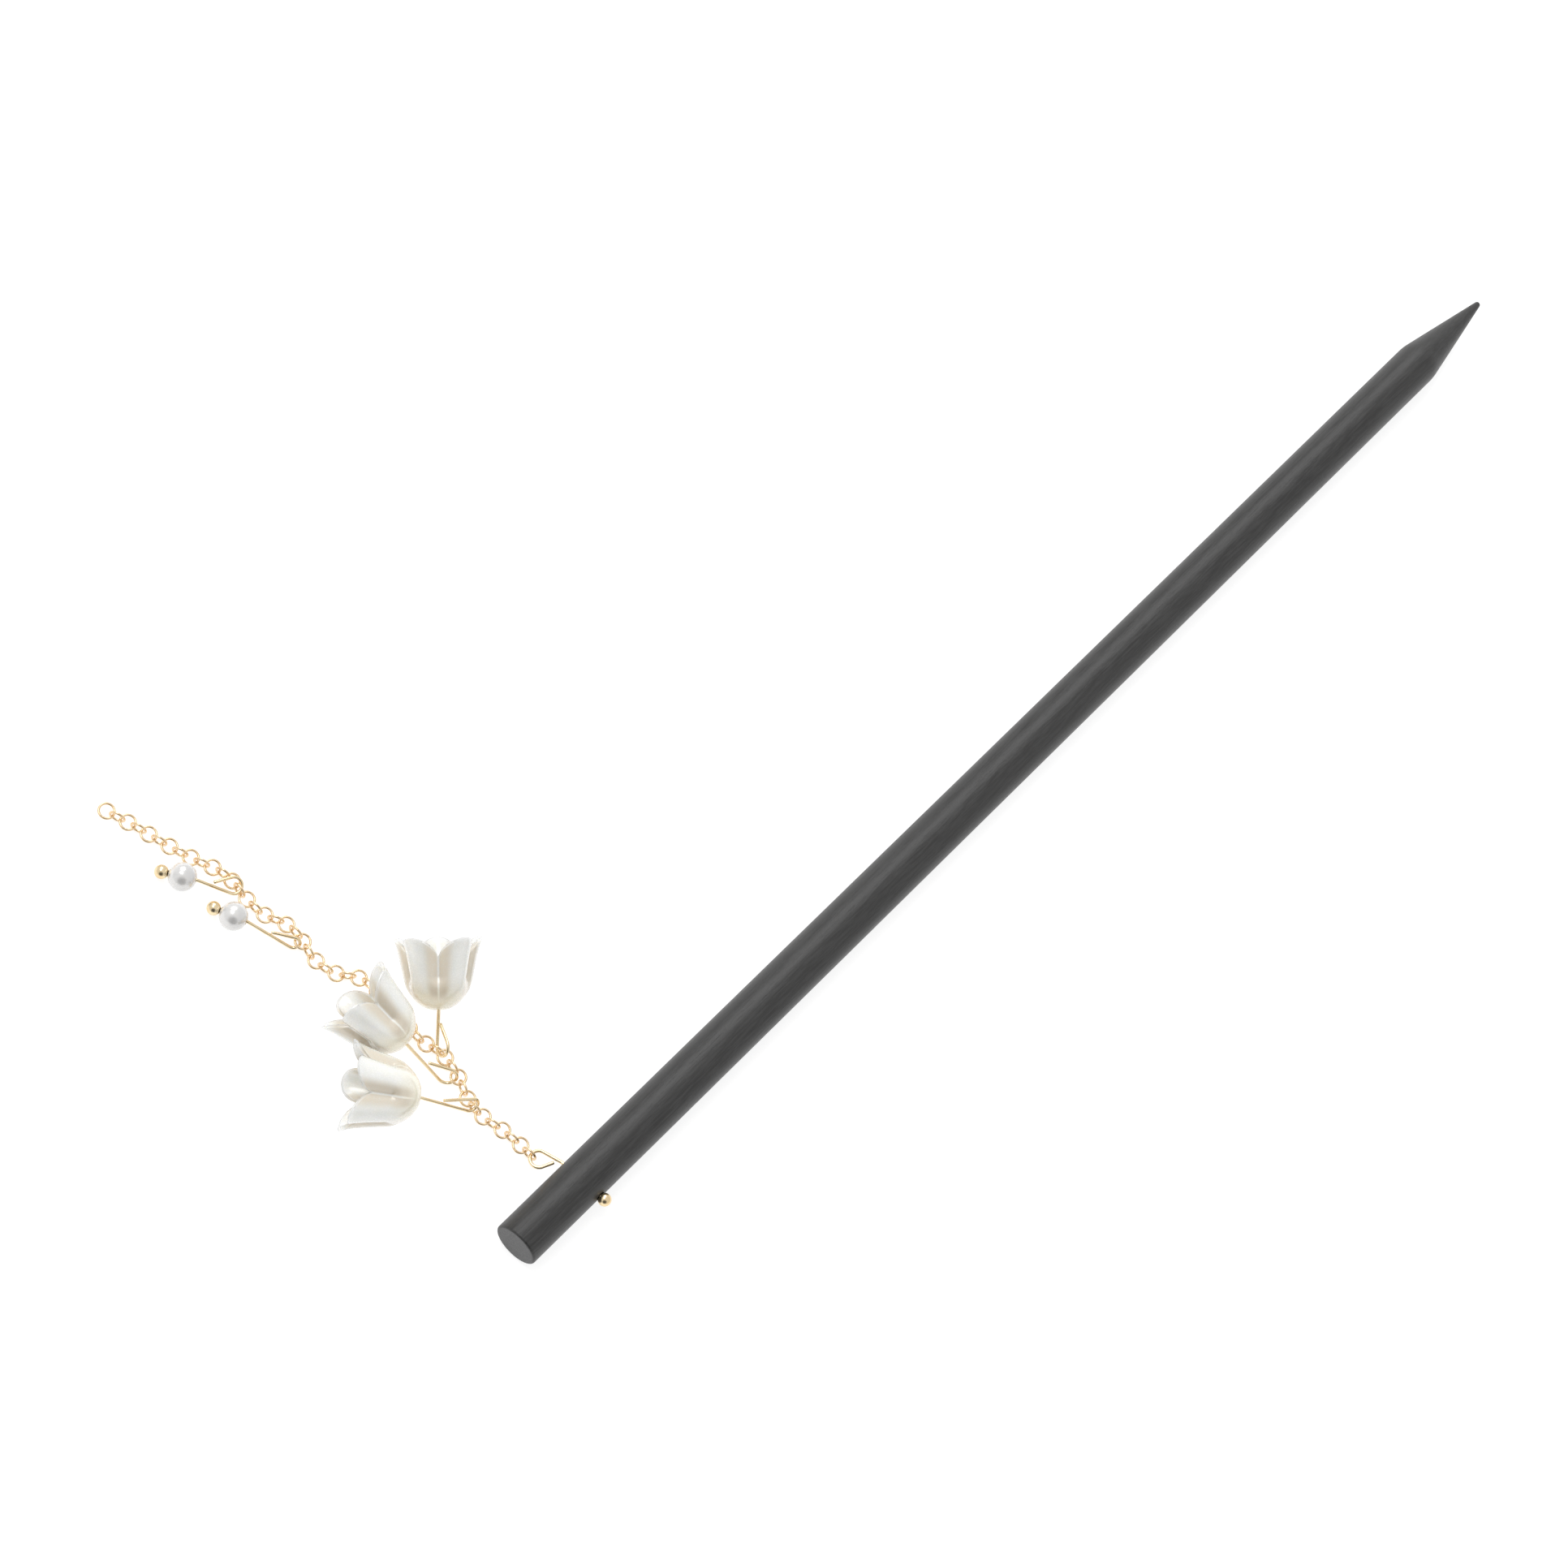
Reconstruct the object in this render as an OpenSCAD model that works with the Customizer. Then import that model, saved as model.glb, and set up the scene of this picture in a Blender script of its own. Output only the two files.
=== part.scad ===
// Hair stick with a pearl and flower chain, lying on a flat surface.
// The origin is on the stick's axis at its butt, +X runs to the tip, +Y is the side of the chain.

/* [Stick] */
// Length of the stick, butt to tip
stick_len = 200; // [140:1:240]
// Diameter of the shaft
stick_d = 6; // [5:0.1:8]
// Length of the pointed end
point_len = 15; // [8:0.5:25]
// Diameter of the rounded tip
tip_d = 0.9; // [0.6:0.1:1.6]
// Rounding of the butt's rim
butt_round = 0.3; // [0.1:0.05:0.8]

/* [Cross hole and its pin] */
// Distance of the cross hole from the butt
hole_at = 11.8; // [8:0.1:20]
// Diameter of the cross hole
hole_d = 1.25; // [0.9:0.05:1.5]
// Turn of the cross hole about the stick, its ball side up
hole_tilt = 15; // [0:1:25]
// Wire diameter of the stick pin
stick_wire = 0.45; // [0.35:0.01:0.55]
// Diameter of the stick pin's ball
stick_ball_d = 1.66; // [1.6:0.02:2.2]
// Straight wire between the stick and the first bend
stick_neck = 0.3; // [0.25:0.05:1]

/* [Chain] */
// Wire diameter of a link
link_wire = 0.32; // [0.26:0.01:0.34]
// Outer diameter of a link
link_d = 2.2; // [2.1:0.01:2.4]
// Play between two links that are pulled tight
link_play = 0.15; // [0.1:0.01:0.2]
// Number of links
link_count = 48; // [40:1:56]

/* [Flowers] */
// Length of a flower, base to petal tips
flower_len = 8.9; // [8:0.1:9.5]
// Radius of a flower at its petal tips
flower_r = 5.8; // [5.2:0.1:6]
// Number of petals
petals = 5; // [4:1:6]
// Depth of the notches between the petals
notch_depth = 2.2; // [1:0.1:3.5]
// Wall of a flower
flower_wall = 0.6; // [0.4:0.05:0.8]
// Diameter of the hole in a flower's base
flower_hole_d = 0.9; // [0.7:0.05:1.1]

/* [Pearls] */
// Diameter of a pearl
pearl_d = 3.5; // [3:0.1:4]
// Diameter of a pearl's drill hole
pearl_hole_d = 0.8; // [0.6:0.05:1]

/* [Ball-headed pins] */
// Wire diameter of the flower and pearl pins
pin_wire = 0.4; // [0.3:0.01:0.45]
// Diameter of their balls
ball_d = 1.75; // [1.5:0.05:2]
// Gap between a ball and the rim it sits on
seat_gap = 0.04; // [0.02:0.01:0.1]
// Gap between a loop's end and its own stem
loop_gap = 0.06; // [0.04:0.01:0.2]
// Extra thickness of the wire at a bend
bend_swell = 0.08; // [0.06:0.01:0.12]
// Gap between the lowest points of small pieces and the surface
lie_gap = 0.02; // [0:0.01:0.05]

/* [Hidden] */

wood = [0.29, 0.285, 0.28];
gold = [0.83, 0.60, 0.33];
shell_white = [0.87, 0.87, 0.83];
pearl_white = [0.88, 0.88, 0.88];

floor_z = -stick_d / 2;
step = link_d - 2 * link_wire - link_play;
link_r = (link_d - link_wire) / 2;
link_z = floor_z + lie_gap + link_d / 2;
up = [0, 0, 1];
bend_trim = 0.1;
straight_below = 0.01;
curve_cuts = 12;
heading_reach = 0.3;

// Places in the plane of the surface are counted in chain steps from where the stick pin comes out.
function laid(p) = [hole_at + p[0] * step, stick_d / 2 + p[1] * step, 0];

// Points that the laid chain runs through
chain_route = [
    [-1.3, 2.55], [-1.35, 3.55], [-1.6, 5.5], [-2.05, 7.5], [-2, 9.2], [-1.5, 10.6],
    [-1, 12.05], [-0.9, 13.9], [-1.4, 15.95], [-1.3, 19.5], [-1.4, 22.7], [-2.9, 24.9],
    [-3.35, 26.65], [-3.2, 27.95], [-2.9, 29.3], [-3.1, 30.8], [-3.85, 32.35],
    [-4.05, 33.75], [-4.05, 34.95], [-3.9, 36.3], [-4.1, 37.7], [-4.8, 39.3],
    [-5.6, 41.3], [-6.25, 43.25], [-6.8, 45.05], [-7.45, 46.8], [-8, 48.4], [-8.7, 50.6]
];

// Flower shape: share of the length, share of the radius at the petals' middle
flower_rows = [
    [0, 0.107], [0.013, 0.198], [0.05, 0.32], [0.11, 0.445], [0.19, 0.56], [0.29, 0.665],
    [0.41, 0.73], [0.52, 0.77], [0.64, 0.81], [0.76, 0.855], [0.88, 0.91], [1, 1]
];
groove_share = 0.58;
groove_from = 0.1;
groove_full = 0.44;
groove_curve = 0.7;
arch_curve = 2;
facets_per_petal = 12;

// Laid flowers: place of the base, azimuth of the mouth, its rise, turn about the flower's axis
flower_pose = [
    [[1.03, 16.5], 50.5, 17, 52],
    [[-3.4, 16.25], 97, 10, 42.5],
    [[-6.2, 12.15], 128.5, -3, 57.5]
];

// Laid pearls: place of the centre, azimuth and rise of the drill hole towards the loop
pearl_pose = [
    [[-7.05, 39.35], -59, 13],
    [[-6.15, 34.05], -68, 12]
];

// Wire loops. Columns: link it holds, turn and rise of the wire from the direction of that link,
// roll of the loop, reach from the closing point to the link, loop length, loop radius
stick_loop = [0, -14, 3, -1, 3.5, 2.4, 1.05];
flower_loops = [
    [12, 0, 4, 70, 3.8, 3.5, 1.1],
    [9, -10, -11, 56, 4.7, 3.8, 1.15],
    [6, -3, -2, 50, 7.1, 6.2, 0.9]
];
pearl_loops = [
    [34, -9, 2, 17, 4.0, 3.2, 1.0],
    [27, -8, -9, 58, 5.0, 4.2, 0.8]
];

function unit(v) = v / norm(v);
function heading(azimuth, rise) = [
    cos(rise) * cos(azimuth), cos(rise) * sin(azimuth), sin(rise)
];
function side_of(axis) = unit(cross(up, axis));
function over_of(axis) = cross(axis, side_of(axis));
function rolled(axis, roll) = cos(roll) * side_of(axis) + sin(roll) * over_of(axis);

// Smooth curve through the points of the chain's route
function blend(a, b, c, d, t) = 0.5 * (
    2 * b + (c - a) * t + (2 * a - 5 * b + 4 * c - d) * t ^ 2 + (3 * b - a - 3 * c + d) * t ^ 3
);
function route_point(points, i) =
    i < 0 ? 2 * points[0] - points[1]
    : i > len(points) - 1 ? 2 * points[len(points) - 1] - points[len(points) - 2]
    : points[i];
function smooth(points, cuts) = [
    for (i = [0:len(points) - 2], k = [0:cuts - 1])
        blend(route_point(points, i - 1), points[i], points[i + 1],
              route_point(points, i + 2), k / cuts),
    points[len(points) - 1]
];
curve = smooth([for (p = chain_route) laid(p)], curve_cuts);
gaps = [for (i = [0:len(curve) - 1]) i < len(curve) - 1 ? norm(curve[i + 1] - curve[i]) : 0];
lengths = [for (s = 0, i = 0; i < len(curve); s = s + gaps[i], i = i + 1) s];
curve_x = [for (i = [0:len(curve) - 1]) [lengths[i], curve[i][0]]];
curve_y = [for (i = [0:len(curve) - 1]) [lengths[i], curve[i][1]]];
function along(s) = [lookup(s, curve_x), lookup(s, curve_y), link_z];
function link_at(i) = along(i * step);
function link_heading(i) = unit(
    along(i * step + heading_reach) - along(max(i * step - heading_reach, 0))
);

// Moves drawn shapes so that their X, Y and Z axes point along three given directions
module placed(at, x, y, z) {
    multmatrix([
        [x[0], y[0], z[0], at[0]],
        [x[1], y[1], z[1], at[1]],
        [x[2], y[2], z[2], at[2]]
    ]) children();
}

module rod(from, to, d) {
    axis = unit(to - from);
    placed(from, side_of(axis), over_of(axis), axis)
        cylinder(d = d, h = norm(to - from), $fn = 32);
}

// Straight wire that stops just short of a bend at its far end, and of one at its near end
module wire_rod(from, to, d, near = bend_trim) {
    axis = unit(to - from);
    rod(from + near * axis, to - bend_trim * axis, d);
}

// Ball at the end of a wire that leaves it along stem, with its poles beside the wire
module ball(at, d, stem) {
    pole = side_of(stem);
    placed(at, -stem, cross(pole, -stem), pole) sphere(d = d, $fn = 32);
}

// The slightly fuller metal at a bend, from which the wire leaves along near and along far
module bent(at, near, far, d) {
    run = unit(far - near);
    turn = cross(far, near);
    pole = norm(turn) > straight_below ? unit(turn) : side_of(run);
    placed(at, cross(run, pole), run, pole) sphere(d = d + bend_swell, $fn = 32);
}

// A wire that runs from a ball straight to a bend, then to a loop round one link of the chain
module ball_pin(ball_at, ball_size, bend, wire, loop) {
    to_link = link_at(loop[0]) - bend;
    axis = heading(
        atan2(to_link[1], to_link[0]) + loop[1],
        atan2(to_link[2], norm([to_link[0], to_link[1]])) + loop[2]
    );
    across = rolled(axis, loop[3]);
    closing = bend + (to_link * axis - loop[4]) * axis;
    side = sqrt(loop[5] ^ 2 - loop[6] ^ 2);
    head = unit(bend - ball_at);
    ball(ball_at, ball_size, head);
    wire_rod(ball_at, bend, wire, 0);
    bent(bend, -head, axis, wire);
    wire_rod(bend, closing + side * axis, wire);
    placed(closing, axis, across, cross(axis, across)) wire_loop(wire, side, loop[6]);
}

// The round end and the closing side of a drop shape whose first side lies on the X axis
module wire_loop(wire, side, radius) {
    spread = 2 * atan2(radius, side);
    first = [1, 0, 0];
    last = [cos(spread), sin(spread), 0];
    bent(side * first, -first, first, wire);
    bent(side * last, -last, last, wire);
    translate([side, radius, 0]) rotate([0, 0, -90])
        rotate_extrude(angle = 180 + spread, $fn = 64)
            translate([radius, 0]) circle(d = wire, $fn = 32);
    wire_rod((wire + loop_gap) / sin(spread) * last, side * last, wire, 0);
}

// Flower surface in its own frame: the base hole at the origin, the mouth towards +Z
petal_half = 180 / petals;
function petal_angle(i) = (i % facets_per_petal) / facets_per_petal * 2 * petal_half - petal_half;
function rim_z(u) = flower_len - notch_depth * (abs(u) / petal_half) ^ arch_curve;
function groove(z) = groove_share
    * min(1, max(0, z / flower_len - groove_from) / (groove_full - groove_from)) ^ groove_curve;
function petal_r(r, g, u) = let (c = g * r, rho = r - c)
    c * cos(u) + sqrt(rho ^ 2 - (c * sin(u)) ^ 2);
function outer_r(z) = flower_r * lookup(z / flower_len, flower_rows);
function shell_point(i, z, inset) = let (
    u = petal_angle(i),
    r = petal_r(outer_r(z) - inset, groove(z), u),
    turn = (floor(i / facets_per_petal) + 0.5) * 2 * petal_half + u - petal_half
) [r * cos(turn), r * sin(turn), z];

rows = [for (row = flower_rows) row[0]];
columns = petals * facets_per_petal;
hole_ring = [
    for (i = [0:columns - 1])
        flower_hole_d / 2 * [cos(i * 360 / columns), sin(i * 360 / columns), 0]
];
outer_shell = [
    for (v = rows, i = [0:columns - 1])
        shell_point(i, v * rim_z(petal_angle(i)), 0)
];
inner_shell = [
    for (k = [len(rows) - 1:-1:0], i = [0:columns - 1])
        shell_point(
            i, flower_wall + rows[k] * (rim_z(petal_angle(i)) - flower_wall), flower_wall
        )
];
flower_points = concat(
    outer_shell, inner_shell, [for (p = hole_ring) p + flower_wall * up], hole_ring
);
rings = 2 * len(rows) + 2;
flower_faces = [
    for (k = [0:rings - 1], i = [0:columns - 1])
        let (
            low = k * columns,
            high = (k + 1) % rings * columns,
            next = (i + 1) % columns
        )
        each [
            [low + i, high + i, high + next],
            [low + i, high + next, low + next]
        ]
];

function flower_axis(n) = heading(flower_pose[n][1], flower_pose[n][2]);
function flower_x(n) = let (a = flower_axis(n), turn = flower_pose[n][3])
    cos(turn) * over_of(a) + sin(turn) * side_of(a);
function flower_y(n) = cross(flower_axis(n), flower_x(n));
function lowest(n) = let (x = flower_x(n)[2], y = flower_y(n)[2], z = flower_axis(n)[2])
    min([for (p = outer_shell) p[0] * x + p[1] * y + p[2] * z]);
function flower_base(n) = laid(flower_pose[n][0]) + (floor_z + lie_gap - lowest(n)) * up;

function pearl_axis(n) = heading(pearl_pose[n][1], pearl_pose[n][2]);
function pearl_at(n) = laid(pearl_pose[n][0]) + (floor_z + lie_gap + pearl_d / 2) * up;

// Distance from a hole's rim to the centre of the ball that sits in it
function seat(ball, hole) = sqrt((ball / 2 + seat_gap) ^ 2 - (hole / 2) ^ 2);

hole_axis = [0, cos(hole_tilt), -sin(hole_tilt)];
hole_centre = [hole_at, 0, 0];

// Outline of the stick: radius and distance from the butt
module stick_outline() {
    tip_r = tip_d / 2;
    shaft_r = stick_d / 2;
    cone = atan2(shaft_r, point_len - tip_r) - asin(tip_r / norm([shaft_r, point_len - tip_r]));
    polygon(concat(
        [[0, 0]],
        [
            for (a = [0:15:90])
                [shaft_r - butt_round * (1 - sin(a)), butt_round * (1 - cos(a))]
        ],
        [[shaft_r, stick_len - point_len]],
        [
            for (k = [0:6])
                let (a = cone + (90 - cone) * k / 6)
                k < 6 ? [tip_r * cos(a), stick_len - tip_r + tip_r * sin(a)] : [0, stick_len]
        ]
    ));
}

module stick() {
    color(wood) difference() {
        rotate([0, 90, 0]) rotate_extrude($fn = 96) stick_outline();
        rod(hole_centre - stick_d * hole_axis, hole_centre + stick_d * hole_axis, hole_d);
    }
}

module stick_pin() {
    color(gold) ball_pin(
        hole_centre - (stick_d / 2 + seat(stick_ball_d, hole_d)) * hole_axis, stick_ball_d,
        hole_centre + (stick_d / 2 + stick_neck) * hole_axis, stick_wire, stick_loop
    );
}

module chain() {
    color(gold) for (i = [0:link_count - 1]) {
        ahead = link_heading(i);
        flat = i % 2 == 1;
        across = flat ? side_of(ahead) : up;
        placed(link_at(i), ahead, across, cross(ahead, across))
            rotate_extrude($fn = 48) translate([link_r, 0]) circle(d = link_wire, $fn = 24);
    }
}

module flower(n) {
    color(shell_white)
        placed(flower_base(n), flower_x(n), flower_y(n), flower_axis(n))
            polyhedron(flower_points, flower_faces);
}

module flower_pin(n) {
    inside = flower_wall + seat(ball_d, flower_hole_d);
    color(gold) ball_pin(
        flower_base(n) + inside * flower_axis(n), ball_d, flower_base(n), pin_wire,
        flower_loops[n]
    );
}

module pearl(n) {
    color(pearl_white) difference() {
        translate(pearl_at(n)) sphere(d = pearl_d, $fn = 64);
        rod(
            pearl_at(n) - pearl_d * pearl_axis(n), pearl_at(n) + pearl_d * pearl_axis(n),
            pearl_hole_d
        );
    }
}

module pearl_pin(n) {
    rim = sqrt((pearl_d / 2) ^ 2 - (pearl_hole_d / 2) ^ 2);
    color(gold) ball_pin(
        pearl_at(n) - (rim + seat(ball_d, pearl_hole_d)) * pearl_axis(n), ball_d,
        pearl_at(n) + pearl_d / 2 * pearl_axis(n), pin_wire, pearl_loops[n]
    );
}

stick();
stick_pin();
chain();
flower(0);  // flower_1
flower(1);  // flower_2
flower(2);  // flower_3
flower_pin(0);  // flower_pin_1
flower_pin(1);  // flower_pin_2
flower_pin(2);  // flower_pin_3
pearl(0);  // pearl_1
pearl(1);  // pearl_2
pearl_pin(0);  // pearl_pin_1
pearl_pin(1);  // pearl_pin_2
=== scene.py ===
import math

import bmesh
import bpy
import numpy as np
from mathutils import Matrix, Vector


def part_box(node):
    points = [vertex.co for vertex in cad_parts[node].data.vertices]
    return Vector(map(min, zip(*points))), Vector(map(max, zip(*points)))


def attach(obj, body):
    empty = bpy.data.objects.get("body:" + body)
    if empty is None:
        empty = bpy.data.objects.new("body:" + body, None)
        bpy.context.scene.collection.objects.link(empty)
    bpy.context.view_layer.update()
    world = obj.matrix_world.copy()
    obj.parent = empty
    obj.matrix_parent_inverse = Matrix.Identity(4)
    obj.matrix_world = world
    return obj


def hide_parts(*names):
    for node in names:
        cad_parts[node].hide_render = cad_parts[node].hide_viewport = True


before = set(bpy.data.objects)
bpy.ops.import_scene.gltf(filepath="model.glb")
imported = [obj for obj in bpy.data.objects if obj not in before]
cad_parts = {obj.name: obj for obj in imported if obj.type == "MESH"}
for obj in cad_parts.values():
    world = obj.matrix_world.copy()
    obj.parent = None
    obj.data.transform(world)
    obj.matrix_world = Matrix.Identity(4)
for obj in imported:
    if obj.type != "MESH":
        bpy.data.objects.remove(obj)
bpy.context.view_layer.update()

MM = 0.001
# Radius of a ring that stands for the point on a lathe's axis
NEARLY_NONE = 0.0007 * MM
UP = np.array([0.0, 0.0, 1.0])

# Stick
POINT_LEN = 15 * MM
TIP_R = 0.45 * MM
BUTT_ROUND = 0.3 * MM
SHOULDER_R = 8.8 * MM
HOLE_AT = 11.8 * MM
HOLE_R = 0.625 * MM
HOLE_TILT = 15
STICK_WIRE_R = 0.225 * MM
STICK_BALL_R = 0.83 * MM
STICK_NECK = 0.3 * MM
STICK_COLUMNS = 144
HOLE_COLUMNS = 48
# Rings of the end face, as shares of the radius, and counts of rings on the other stretches
END_FACE_RINGS = (0.12, 0.25, 0.4, 0.55, 0.7, 0.82)
EDGE_RINGS = 9
SHOULDER_RINGS = 12
CONE_RINGS = 16
# Edges that turn by more than this, in degrees, stay sharp
SHARP_FROM = 40
# Rings along the shaft: distance from the butt to the first one, and from one to the next
SHAFT_START = 0.7 * MM
SHAFT_STEP = 0.9 * MM
# Unevenness of the turned wood, as a share of its radius
WOOD_SWELL = 0.0035

# Chain
LINK_R = 0.94 * MM
LINK_WIRE_R = 0.16 * MM
LINK_AROUND = 56
LINK_SIDES = 14
# Groove of a link's soldered joint: depth as a share of the wire, then its half width and
# the scatter of its place in radians
SEAM_DEPTH = 0.14
SEAM_WIDTH = 0.07
SEAM_SCATTER = 0.15

# Flowers
FLOWER_LEN = 8.9 * MM
FLOWER_R = 5.8 * MM
PETALS = 5
PETAL_HALF = 180 / PETALS
NOTCH_DEPTH = 2.2 * MM
FLOWER_WALL = 0.6 * MM
FLOWER_HOLE_R = 0.45 * MM
# Outline of the petals: height and radius, as shares of the flower's
FLOWER_ROWS = np.array([
    [0, 0.107], [0.013, 0.198], [0.05, 0.32], [0.11, 0.445], [0.19, 0.56], [0.29, 0.665],
    [0.41, 0.73], [0.52, 0.77], [0.64, 0.81], [0.76, 0.855], [0.88, 0.91], [1, 1],
])
# Grooves between the petals: how far the petals' own axes lie out, the heights at which this
# starts and is full, as shares of the flower's, and the curve between these heights
GROOVE_SHARE = 0.58
GROOVE_FROM = 0.1
GROOVE_FULL = 0.44
GROOVE_CURVE = 0.7
# Curve of a petal's rim from its middle to the notches
ARCH_CURVE = 2
# How softly the grooves are filled, on the outside and the inside
OUTER_SOFTNESS = 0.35
INNER_SOFTNESS = 0.12
# The rim's round starts this share of the wall below its highest point
RIM_DROP = 0.42
PETAL_COLUMNS = 36
WALL_RINGS = 46
# Above 1, this gathers the rings of the wall towards the base
RING_CROWDING = 1.25
RIM_STEPS = 7
HOLE_RINGS = 4
# Azimuth of the mouth, its rise, turn about the flower's axis
FLOWER_POSES = [(50.5, 17, 52), (97, 10, 42.5), (128.5, -3, 57.5)]

# Pearls
PEARL_R = 1.75 * MM
PEARL_HOLE_R = 0.4 * MM
PEARL_MOUTH = 0.09 * MM
PEARL_RINGS = 64
PEARL_COLUMNS = 96
# Unevenness of the skin, as a share of the radius
PEARL_SWELL = 0.006
# Points further out than this share of the radius are on the ball, the others in its hole
SKIN_FROM = 0.93
# Rounded mouth of the hole: its depth as a share of its width, and its steps
MOUTH_DEPTH = 0.6
MOUTH_STEPS = (0.35, 0.7, 1)
BORE_RINGS = 4
# Azimuth and rise of the drill hole towards the loop
PEARL_POSES = [(-59, 13), (-68, 12)]

# Ball-headed pins
PIN_WIRE_R = 0.2 * MM
PIN_BALL_R = 0.875 * MM
SEAT_GAP = 0.04 * MM
LOOP_GAP = 0.06 * MM
BEND_R = 0.55 * MM
BEND_STEPS = 10
ARC_POINTS = 57
WIRE_STEP = 0.3 * MM
WIRE_SIDES = 20
# A wire's cut end: length of its bevel and its radius, as shares of the wire's
CUT_LENGTH = 0.25
CUT_RADIUS = 0.8
BALL_RINGS = 34
BALL_COLUMNS = 48
# Distance of a ball's flat end from its centre, as a share of its radius
BALL_FLAT = 0.985
# Fillet between ball and wire, in radii of the wire: where it leaves the ball, then its rows
# of distance from there and radius
FILLET_START = 1.35
FILLET_ROWS = [(0.10, 1.18), (0.35, 1.04), (0.8, 0.99)]
# Columns: link it holds, turn and rise of the wire from the direction of that link,
# roll of the loop, reach from the closing point to the link, loop length, loop radius
STICK_LOOP = (0, -14, 3, -1, 3.5 * MM, 2.4 * MM, 1.05 * MM)
FLOWER_LOOPS = [
    (12, 0, 4, 70, 3.8 * MM, 3.5 * MM, 1.1 * MM),
    (9, -10, -11, 56, 4.7 * MM, 3.8 * MM, 1.15 * MM),
    (6, -3, -2, 50, 7.1 * MM, 6.2 * MM, 0.9 * MM),
]
PEARL_LOOPS = [
    (34, -9, 2, 17, 4.0 * MM, 3.2 * MM, 1.0 * MM),
    (27, -8, -9, 58, 5.0 * MM, 4.2 * MM, 0.8 * MM),
]


def unit(v):
    return np.asarray(v, float) / np.linalg.norm(v)


def heading(azimuth, rise):
    a, r = math.radians(azimuth), math.radians(rise)
    return np.array([math.cos(r) * math.cos(a), math.cos(r) * math.sin(a), math.sin(r)])


def side_of(axis):
    return unit(np.cross(UP, axis))


def over_of(axis):
    return np.cross(axis, side_of(axis))


def centre_of(node):
    low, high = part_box(node)
    return np.array((low + high) / 2)


# Meshes

def add_mesh(name, points, faces):
    mesh = bpy.data.meshes.new(name)
    mesh.from_pydata([tuple(p) for p in points], [], faces)
    mesh.update()
    mesh.polygons.foreach_set("use_smooth", [True] * len(mesh.polygons))
    obj = bpy.data.objects.new(name, mesh)
    bpy.context.scene.collection.objects.link(obj)
    return obj


def ring_faces(rings, columns, loop):
    """Quads between closed rings of points that follow each other"""
    faces = []
    for k in range(rings if loop else rings - 1):
        low = k * columns
        high = (k + 1) % rings * columns
        for i in range(columns):
            j = (i + 1) % columns
            faces.append((low + i, low + j, high + j, high + i))
    return faces


def lofted(rings, loop=False):
    """Points and faces of a closed skin through rings, an array of (ring, column, xyz)"""
    count, columns = rings.shape[:2]
    faces = ring_faces(count, columns, loop)
    if not loop:
        faces.append(tuple(range(columns - 1, -1, -1)))
        faces.append(tuple(range((count - 1) * columns, count * columns)))
    return rings.reshape(-1, 3), faces


def joined(parts):
    """Points and faces of several skins as those of one mesh"""
    points, faces, start = [], [], 0
    for p, f in parts:
        points.append(p)
        faces += [tuple(i + start for i in face) for face in f]
        start += len(p)
    return np.vstack(points), faces


def lathe(profile, at, axis, columns):
    """Rings of (distance along the axis, radius) pairs turned about an axis"""
    side, over = side_of(axis), over_of(axis)
    turn = np.linspace(0, 2 * math.pi, columns, endpoint=False)
    spoke = np.cos(turn)[:, None] * side + np.sin(turn)[:, None] * over
    profile = np.asarray(profile)
    return at + profile[:, :1, None] * axis + profile[:, 1:, None] * spoke


def tube(path, radii, sides):
    """Rings along a path, turned as little as possible from one to the next"""
    path = np.asarray(path)
    ahead = np.gradient(path, axis=0)
    ahead /= np.linalg.norm(ahead, axis=1)[:, None]
    side = side_of(ahead[0])
    turn = np.linspace(0, 2 * math.pi, sides, endpoint=False)
    rings = []
    for point, axis, r in zip(path, ahead, radii):
        side = unit(side - side @ axis * axis)
        over = np.cross(axis, side)
        rings.append(point + r * (np.cos(turn)[:, None] * side + np.sin(turn)[:, None] * over))
    return np.array(rings)


def bent_path(start, corner, end):
    """A straight path from start to end by way of a corner, with an arc in the corner"""
    back, on = unit(start - corner), unit(end - corner)
    half = math.acos(back @ on) / 2
    centre = corner + unit(back + on) * BEND_R / math.sin(half)
    reach = BEND_R / math.tan(half)
    u, v = unit(corner + reach * back - centre), unit(corner + reach * on - centre)
    sweep = math.pi - 2 * half
    path = [start]
    for t in sweep * np.arange(BEND_STEPS + 1) / BEND_STEPS:
        out = (math.sin(sweep - t) * u + math.sin(t) * v) / math.sin(sweep)
        path.append(centre + BEND_R * out)
    path.append(end)
    return path


def spread_out(path):
    """Extra points on the long stretches of a wire's path"""
    out = [path[0]]
    for p, q in zip(path, path[1:]):
        cuts = max(1, int(np.linalg.norm(q - p) / WIRE_STEP))
        out += [p + (q - p) * k / cuts for k in range(1, cuts + 1)]
    return out


# Chain

def loose_parts(obj):
    """The points of each loose part of a solid"""
    mesh = bmesh.new()
    mesh.from_mesh(obj.data)
    bmesh.ops.remove_doubles(mesh, verts=mesh.verts, dist=0.001 * MM)
    seen, parts = set(), []
    for start in mesh.verts:
        if start in seen:
            continue
        seen.add(start)
        part, todo = [], [start]
        while todo:
            vert = todo.pop()
            part.append(vert.co[:])
            for edge in vert.link_edges:
                other = edge.other_vert(vert)
                if other not in seen:
                    seen.add(other)
                    todo.append(other)
        parts.append(np.array(part))
    mesh.free()
    return parts


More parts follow.
